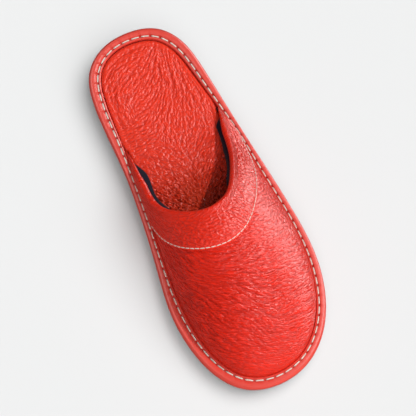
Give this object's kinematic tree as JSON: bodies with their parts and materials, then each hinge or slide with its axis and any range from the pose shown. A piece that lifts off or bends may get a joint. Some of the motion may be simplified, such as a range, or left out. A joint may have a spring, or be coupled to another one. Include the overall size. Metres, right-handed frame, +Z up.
{
  "type": "closed-toe slipper",
  "caption": "Backless closed-toe house slipper with a flat stitched rim, a padded insole, a hollow upper with a rolled collar band and a thin grooved outsole.",
  "frame": {"origin": "on the floor, under the middle of the slipper's bounding box", "axes": "-Y toward the toe, +Y toward the heel, +X toward the outer (lateral) side, +Z up"},
  "size_m": [0.1107, 0.281, 0.0609],
  "materials": {
    "outsole_rubber": "matt moulded rubber with cross grooves",
    "binding_leather": "smooth coral red leather, soft sheen, one row of off-white stitches",
    "insole_leather": "soft crinkled red leather over foam",
    "upper_leather": "pebbled red leather with fine creases",
    "band_leather": "pebbled red leather, slightly padded, with a rolled edge"
  },
  "bodies": {
    "root": {"outsole": "outsole_rubber", "edge_binding": "binding_leather", "insole": "insole_leather", "upper": "upper_leather", "collar_band": "band_leather"}
  },
  "joints": []
}
